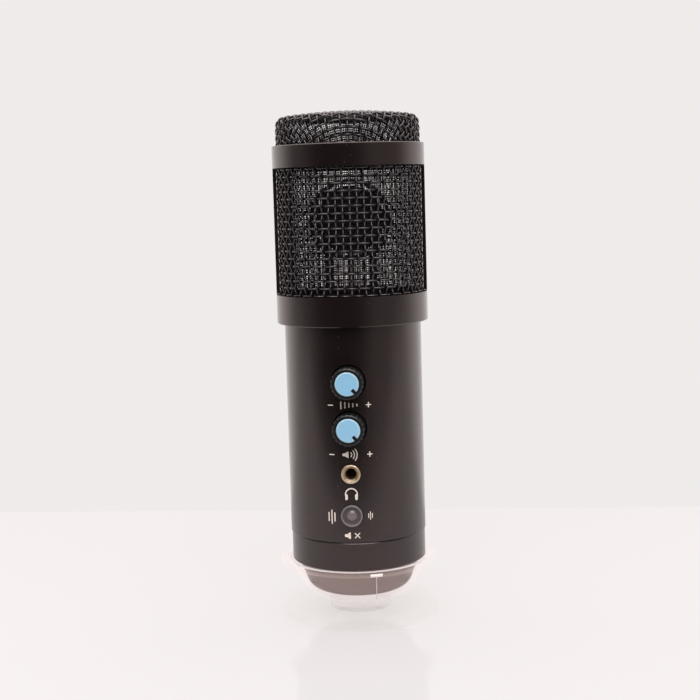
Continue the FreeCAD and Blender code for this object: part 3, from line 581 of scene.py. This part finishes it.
def dome_place(reach, inset):
    """Radius, height and lean of the domed cloth at a distance from its middle, along the cloth."""
    sphere_r = CROWN_R - inset
    sphere_z = GRILLE_HIGH.z - CROWN_R
    edge_tilt = math.asin(CROWN_EDGE_R / CROWN_R)
    corner_from = sphere_r * edge_tilt
    corner_x = (CROWN_R - CORNER_R) * math.sin(edge_tilt)
    corner_z = sphere_z + (CROWN_R - CORNER_R) * math.cos(edge_tilt)
    round_r = CORNER_R - inset
    lean_tilt = math.pi / 2 - CORNER_LEAN
    lean_from = corner_from + round_r * (lean_tilt - edge_tilt)
    lean_r = corner_x + round_r * math.sin(lean_tilt)
    lean_z = corner_z + round_r * math.cos(lean_tilt)
    side_r = GRILLE_R - inset
    lean_long = math.hypot(side_r - lean_r, lean_z - SHOULDER_Z)
    if reach < corner_from:
        tilt = reach / sphere_r
        return sphere_r * math.sin(tilt), sphere_z + sphere_r * math.cos(tilt), tilt
    if reach < lean_from:
        tilt = edge_tilt + (reach - corner_from) / round_r
        return corner_x + round_r * math.sin(tilt), corner_z + round_r * math.cos(tilt), tilt
    if reach < lean_from + lean_long:
        part = (reach - lean_from) / lean_long
        return lean_r + part * (side_r - lean_r), lean_z + part * (SHOULDER_Z - lean_z), lean_tilt
    return side_r, SHOULDER_Z - (reach - lean_from - lean_long), math.pi / 2


def dome_point(x, y, inset, over):
    """A point of the flat cloth, drawn over the dome and lifted off it, and the outward normal there."""
    flat = math.hypot(x, y)
    r, z, tilt = dome_place(flat, inset)
    on_axis = flat < AXIS_TOLERANCE
    cos_a, sin_a = (1.0, 0.0) if on_axis else (x / flat, y / flat)
    normal = (math.sin(tilt) * cos_a, math.sin(tilt) * sin_a, math.cos(tilt))
    point = (r * cos_a + over * normal[0], r * sin_a + over * normal[1], z + over * normal[2])
    return point, normal


def dome_cloth(inset, pitch, amplitude, steps):
    """Wires of a square cloth drawn over the dome, down to where it meets the side's cloth."""
    reach_limit = 1.0 * MM
    while dome_place(reach_limit, inset)[1] > CLOTH_JOIN_Z:
        reach_limit += pitch / 20
    lines = []
    half = int(reach_limit / pitch)
    for j in range(-half, half + 1):
        offset = j * pitch
        wire_half = math.sqrt(max(reach_limit ** 2 - offset ** 2, 0.0))
        spans = max(int(2 * wire_half / pitch * steps), 2)
        along = np.linspace(-wire_half, wire_half, spans + 1)
        for lengthwise in (True, False):
            placed = []
            for s in along:
                x, y = (s, offset) if lengthwise else (offset, s)
                over = amplitude * math.cos(math.pi * (s / pitch + j)) * (1 if lengthwise else -1)
                placed.append(dome_point(x, y, inset, over))
            points, normals = zip(*placed)
            lines.append((np.array(points), np.array(normals), False))
    return lines


def build_grille():
    """Both layers of the grille, each with a side and a dome. Only the coarse wires are seen to weave."""
    coarse_inset = 2 * COARSE_WIRE_R
    coarse_low_z = GRILLE_LOW.z + CLOTH_FOOT
    coarse_r = GRILLE_R - coarse_inset
    side = side_cloth(coarse_r, coarse_low_z, COARSE_COUNT, COARSE_PITCH, COARSE_WIRE_R, COARSE_STEPS)
    cloth("grille_side_weave", side, COARSE_WIRE_R, COARSE_SIDES, "grille_outer", "grille_wire")
    dome = dome_cloth(coarse_inset, COARSE_PITCH, COARSE_WIRE_R, COARSE_STEPS)
    cloth("grille_dome_weave", dome, COARSE_WIRE_R, COARSE_SIDES, "grille_outer", "grille_wire")

    fine_r = LINER_R - 2 * FINE_WIRE_R
    fine_count = round(math.tau * fine_r / FINE_PITCH)
    side = side_cloth(fine_r, LINER_LOW.z + CLOTH_FOOT, fine_count, FINE_PITCH, 0.0, FINE_STEPS)
    cloth("liner_side_cloth", side, FINE_WIRE_R, FINE_SIDES, "grille_inner", "liner_wire")
    fine_inset = GRILLE_HIGH.z - LINER_HIGH.z + FINE_WIRE_R
    dome = dome_cloth(fine_inset, FINE_PITCH, 0.0, FINE_STEPS)
    cloth("liner_dome_cloth", dome, FINE_WIRE_R, FINE_SIDES, "grille_inner", "liner_wire")


# ---------------------------------------------------------------- stand details
def on_stand(name, sections, closed, material, yaw=0.0):
    """A strip or ring on the cup: cross-sections joined in order."""
    sides = len(sections[0])
    vertices = [point for section in sections for point in section]
    piece = new_piece(name, vertices, tube_faces(len(sections), sides, closed, 0), material)
    piece.rotation_euler.z = yaw
    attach(piece, "stand")


def front_point(x, r, z):
    """The point at a radius and height that is x to the right of the middle, on the front."""
    return (x, -math.sqrt(r ** 2 - x ** 2), z)


def build_painted_rim_glint():
    """A pale ring on the cup's rim: a painted highlight where light comes through the rim's edge."""
    low_z, high_z = CUP_RIM_Z - GLINT_LIFT, CUP_RIM_Z + GLINT_LIFT
    corners = [(GLINT_IN_R, low_z), (GLINT_OUT_R, low_z)]
    corners += [(GLINT_OUT_R - GLINT_SLOPE, high_z), (GLINT_IN_R + GLINT_SLOPE, high_z)]
    sections = []
    for k in range(GLINT_SECTIONS):
        angle = math.tau * k / GLINT_SECTIONS
        sections.append([(r * math.cos(angle), r * math.sin(angle), z) for r, z in corners])
    on_stand("cup_painted_rim_glint", sections, True, PAINTED_RIM_GLINT)


def build_mould_seam():
    """The line where the halves of the mould met, down the cup's front in one upright plane."""
    left, right = SEAM_X - SEAM_HALF, SEAM_X + SEAM_HALF
    corners = ((-SEAM_SINK, left), (-SEAM_SINK, right), (SEAM_LIFT, right), (SEAM_LIFT, left))
    sections = []
    for r, z in SEAM_RIM + SEAM_BOWL + SEAM_FOOT:
        sections.append([front_point(x, r * MM + lift, z * MM) for lift, x in corners])
    on_stand("cup_mould_seam", sections, False, MOULD_MARK, HEAD_YAW)


def build_gate_mark():
    """The torn patch on the rim where the plastic ran into the mould."""
    sections = []
    for k in range(GATE_STEPS + 1):
        x = SEAM_X + (k / GATE_STEPS - 0.5) * GATE_LONG
        sections.append([front_point(x, CUP_R + r * MM, CUP_RIM_Z + z * MM) for r, z in GATE_SECTION])
    on_stand("cup_gate_mark", sections, False, MOULD_MARK, HEAD_YAW)


# ---------------------------------------------------------------- printed marks
def round_end(tip, outward, side, angles):
    """Pairs across a stroke's round end. outward and side are as long as half the stroke's width."""
    pairs = []
    for angle in angles:
        middle = tip + outward * math.sin(math.radians(angle))
        reach = side * math.cos(math.radians(angle))
        pairs.append((middle + reach, middle - reach))
    return pairs


def stroke(points, width):
    """A flat line of one width with round ends: its outline as a strip of (left, right) pairs."""
    points = [Vector(p) for p in points]
    path = [points[0]]
    for a, b in zip(points, points[1:]):
        steps = max(int((b - a).length / INK_STEP), 1)
        path.extend(a.lerp(b, (k + 1) / steps) for k in range(steps))
    strip = []
    for i, p in enumerate(path):
        along = (path[min(i + 1, len(path) - 1)] - path[max(i - 1, 0)]).normalized() * width / 2
        side = Vector((-along.y, along.x))
        if i == 0:
            strip.extend(round_end(p, -along, side, END_ANGLES))
        strip.append((p + side, p - side))
        if i == len(path) - 1:
            strip.extend(round_end(p, along, side, reversed(END_ANGLES)))
    return strip


def arc(centre, radius, from_deg, to_deg, steps=16):
    """Points along an arc in a plane."""
    angles = [math.radians(from_deg + (to_deg - from_deg) * k / steps) for k in range(steps + 1)]
    return [(centre[0] + radius * math.cos(a), centre[1] + radius * math.sin(a)) for a in angles]


def wrap(point, radius):
    """A point of the marks' plane, wrapped round the body's front."""
    angle = point.x / BODY_R
    return (radius * math.sin(angle), -radius * math.cos(angle), point.y)


def mark(name, x, z, *strokes):
    """A printed mark: strokes of (points, width) about its own middle, as thin raised ink."""
    under, top = BODY_R - INK_LIFT, BODY_R + INK_LIFT
    middle = Vector((x, z))
    vertices = []
    faces = []
    for points, width in strokes:
        strip = stroke(points, width)
        faces.extend(tube_faces(len(strip), 4, False, len(vertices)))
        for left, right in strip:
            left, right = left + middle, right + middle
            vertices.extend([wrap(left, under), wrap(right, under), wrap(right, top), wrap(left, top)])
    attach(new_piece(name, vertices, faces, INK), "microphone")


def bars(heights, spacing, width):
    """Upright bars side by side, centred."""
    start = -spacing * (len(heights) - 1) / 2
    places = [(start + i * spacing, h / 2) for i, h in enumerate(heights)]
    return [([(x, -half), (x, half)], width) for x, half in places]


def loudspeaker():
    """A small loudspeaker, seen from the side, at the left of the mark."""
    back_x, magnet_x, neck_x, inside_x, mouth_x = [x * MM for x in (-2.0, -1.55, -1.5, -1.15, -0.75)]
    neck_half, cone_half, mouth_half = 0.3 * MM, 0.8 * MM, 0.85 * MM
    magnet_wide, line = 0.95 * MM, 0.45 * MM
    return [
        ([(back_x, 0.0), (magnet_x, 0.0)], magnet_wide),
        ([(neck_x, neck_half), (mouth_x, cone_half)], line),
        ([(neck_x, -neck_half), (mouth_x, -cone_half)], line),
        ([(mouth_x, mouth_half), (mouth_x, -mouth_half)], line),
        ([(inside_x, neck_half), (inside_x, -neck_half)], line),
    ]


def build_signs():
    """A minus and a plus under each knob."""
    minus = ([(-SIGN_HALF, 0.0), (SIGN_HALF, 0.0)], INK_LINE)
    upright = ([(0.0, -SIGN_HALF), (0.0, SIGN_HALF)], INK_LINE)
    for name, height in (("effect", EFFECT_MARK_Z), ("volume", VOLUME_MARK_Z)):
        mark("mark_" + name + "_less", LESS_X, height, minus)
        mark("mark_" + name + "_more", MORE_X, height, minus, upright)


def build_knob_pictures():
    """Echo as fading bars, and loudness as a loudspeaker with waves."""
    fading = [2.1 * MM, 1.65 * MM, 1.25 * MM, 0.85 * MM, 0.45 * MM]
    bar_spacing, bar_wide = 1.25 * MM, 0.44 * MM
    mark("mark_echo", 0.0, EFFECT_MARK_Z, *bars(fading, bar_spacing, bar_wide))

    source, wave_deg, wave_line = (-0.6 * MM, 0.0), 40, 0.3 * MM
    waves = [(arc(source, reach * MM, -wave_deg, wave_deg), wave_line) for reach in (1.05, 1.9, 2.75)]
    mark("mark_loudness", 0.0, VOLUME_MARK_Z, *loudspeaker(), *waves)


def build_headphones():
    """A head band and two ear cups, under the jack."""
    band_r, band_line = 1.85 * MM, 0.38 * MM
    band = (arc((0.0, 0.0), band_r, -10, 190, 28), band_line)
    ear_x, ear_top, ear_low, ear_wide = 1.55 * MM, -0.3 * MM, -1.4 * MM, 0.8 * MM
    ears = [([(x, ear_top), (x, ear_low)], ear_wide) for x in (-ear_x, ear_x)]
    mark("mark_headphones", 0.0, HEADPHONES_Z, band, *ears)


def build_button_pictures():
    """Loud and soft bars beside the button, and a crossed loudspeaker under it."""
    loud, loud_spacing, loud_wide = [2.6 * MM, 4.2 * MM, 2.6 * MM], 0.98 * MM, 0.38 * MM
    soft, soft_spacing, soft_wide = [1.35 * MM, 2.45 * MM, 1.35 * MM], 0.58 * MM, 0.25 * MM
    mark("mark_loud", *LOUD_PLACE, *bars(loud, loud_spacing, loud_wide))
    mark("mark_soft", *SOFT_PLACE, *bars(soft, soft_spacing, soft_wide))

    middle_x, half, line = 1.55 * MM, 0.72 * MM, 0.32 * MM
    left, right = middle_x - half, middle_x + half
    cross = [([(left, -half), (right, half)], line), ([(left, half), (right, -half)], line)]
    mark("mark_mute", 0.0, MUTE_MARK_Z, *loudspeaker(), *cross)


# ---------------------------------------------------------------- camera, stage and light
def build_camera():
    """A short telephoto at about the height of the head, right of the controls, looking a little down."""
    right = Vector((1, 0, 0))
    up = Vector((0, math.sin(CAMERA_PITCH), math.cos(CAMERA_PITCH)))
    ahead = Vector((0, math.cos(CAMERA_PITCH), -math.sin(CAMERA_PITCH)))
    rolled_right = right * math.cos(CAMERA_ROLL) + up * math.sin(CAMERA_ROLL)
    rolled_up = up * math.cos(CAMERA_ROLL) - right * math.sin(CAMERA_ROLL)
    facing = Matrix((rolled_right, rolled_up, -ahead)).transposed().to_4x4()
    data = bpy.data.cameras.new("camera")
    data.lens = CAMERA_LENS
    data.sensor_width = CAMERA_SENSOR
    data.clip_start = CAMERA_NEAR
    camera = bpy.data.objects.new("camera", data)
    turn = Matrix.Rotation(CAMERA_AZIMUTH, 4, "Z")
    camera.matrix_world = turn @ Matrix.Translation(CAMERA_PLACE) @ facing
    bpy.context.scene.collection.objects.link(camera)
    bpy.context.scene.camera = camera


def pale_table():
    """A white sheet lit from below, so that shadows on it stay faint. It glows less to its far edge."""
    s = Surface("pale_table", (0.13, 0.125, 0.125), 0.09, Specular_IOR_Level=0.04)
    s.shader.inputs["Emission Color"].default_value = (1.0, 0.965, 0.955, 1.0)
    s.tint(s.noise(3.0, 2.0), (0.12, 0.115, 0.115))
    s.gloss(s.noise(40.0, 3.0), 0.02)
    depth = s.node("ShaderNodeSeparateXYZ", {0: s.coordinates}).outputs["Y"]
    s.link(s.ramp(depth, TABLE_FADE_Y, TABLE_FAR_Y, TABLE_GLOW, TABLE_FAR_GLOW), "Emission Strength")
    return s.material


def build_stage():
    """A flat pale table top that ends a little behind the object, with round corners."""
    straight_half = TABLE_HALF - TABLE_CORNER_R
    far_y, near_y = TABLE_FAR_Y - TABLE_CORNER_R, TABLE_NEAR_Y + TABLE_CORNER_R
    centres = [(straight_half, far_y), (-straight_half, far_y)]
    centres += [(-straight_half, near_y), (straight_half, near_y)]
    vertices = []
    for quarter, centre in enumerate(centres):
        from_deg = 90 * quarter
        vertices.extend((x, y, TABLE_Z) for x, y in arc(centre, TABLE_CORNER_R, from_deg, from_deg + 90, 8))
    new_piece("pale_sheet", vertices, [tuple(range(len(vertices)))], pale_table())


def fade(tree, source, low, high):
    """0 below low, 1 above high, and smooth between them."""
    inputs = {"Value": source, "From Min": low, "From Max": high}
    return add_node(tree, "ShaderNodeMapRange", inputs, interpolation_type="SMOOTHSTEP").outputs["Result"]


def vector_math(tree, operation, vector, other=(0.0, 0.0, 0.0)):
    return add_node(tree, "ShaderNodeVectorMath", {0: vector, 1: other}, operation=operation)


def build_world():
    """A pale room, brightest behind the object and overhead, and dark in front and a little to the left."""
    world = bpy.data.worlds.new("room")
    world.use_nodes = True
    tree = world.node_tree
    direction = add_node(tree, "ShaderNodeTexCoord").outputs["Generated"]
    split = add_node(tree, "ShaderNodeSeparateXYZ", {0: direction})
    lifted = vector_math(tree, "MULTIPLY", direction, DARK_STRETCH)
    level = vector_math(tree, "NORMALIZE", lifted.outputs["Vector"])
    dark_way = Vector(DARK_TOWARD).normalized()
    toward = vector_math(tree, "DOT_PRODUCT", level.outputs["Vector"], dark_way)

    sides = mixed(tree, fade(tree, split.outputs["Y"], *BACK_FADE), ROOM_FRONT, ROOM_BACK)
    above = mixed(tree, fade(tree, split.outputs["Z"], *OVERHEAD_FADE), sides, ROOM_OVERHEAD)
    room = mixed(tree, fade(tree, toward.outputs["Value"], *DARK_FADE), above, ROOM_DARK)
    # seen directly, the room is one plain pale colour
    seen = add_node(tree, "ShaderNodeLightPath").outputs["Is Camera Ray"]
    tree.links.new(mixed(tree, seen, room, ROOM_SEEN), tree.nodes["Background"].inputs["Color"])
    bpy.context.scene.world = world


def build_light():
    """One large soft rectangular light from the front and above, over the camera."""
    data = bpy.data.lights.new("light_front", "AREA")
    data.shape = "RECTANGLE"
    data.size, data.size_y = LIGHT_SIZE
    data.energy = LIGHT_WATTS
    data.color = LIGHT_COLOR
    light = bpy.data.objects.new("light_front", data)
    light.location = LIGHT_PLACE
    light.rotation_euler = (Vector(LIGHT_TARGET) - Vector(LIGHT_PLACE)).to_track_quat("-Z", "Y").to_euler()
    light.visible_camera = False
    bpy.context.scene.collection.objects.link(light)
    bpy.context.scene.view_settings.view_transform = "Standard"


dress_nodes()
build_grille()
build_painted_rim_glint()
build_mould_seam()
build_gate_mark()
build_signs()
build_knob_pictures()
build_headphones()
build_button_pictures()
build_camera()
build_stage()
build_world()
build_light()
